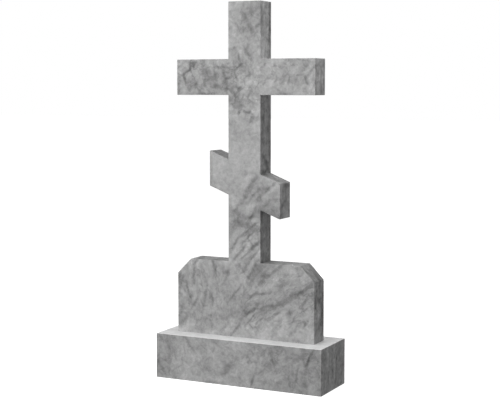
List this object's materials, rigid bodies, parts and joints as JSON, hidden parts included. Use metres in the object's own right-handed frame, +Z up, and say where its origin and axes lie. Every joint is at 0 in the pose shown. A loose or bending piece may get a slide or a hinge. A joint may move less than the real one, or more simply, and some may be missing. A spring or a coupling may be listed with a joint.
{
  "type": "marble grave monument",
  "caption": "Grave monument in grey veined marble: a cross with a level arm and a slanted footrest rises from a low tablet with cut corners, set on a block plinth.",
  "frame": {"origin": "middle of the plinth's underside", "axes": "+Z up the post, +X to the viewer's right, -Y out of the front face; the footrest's high end is at -X"},
  "size_m": [0.6, 0.2, 1.2503],
  "materials": {
    "grey_marble": "honed to a low polish, clouded and veined in darker grey"
  },
  "bodies": {
    "root": {"cross_slab": "grey_marble", "plinth": "grey_marble"}
  },
  "joints": []
}
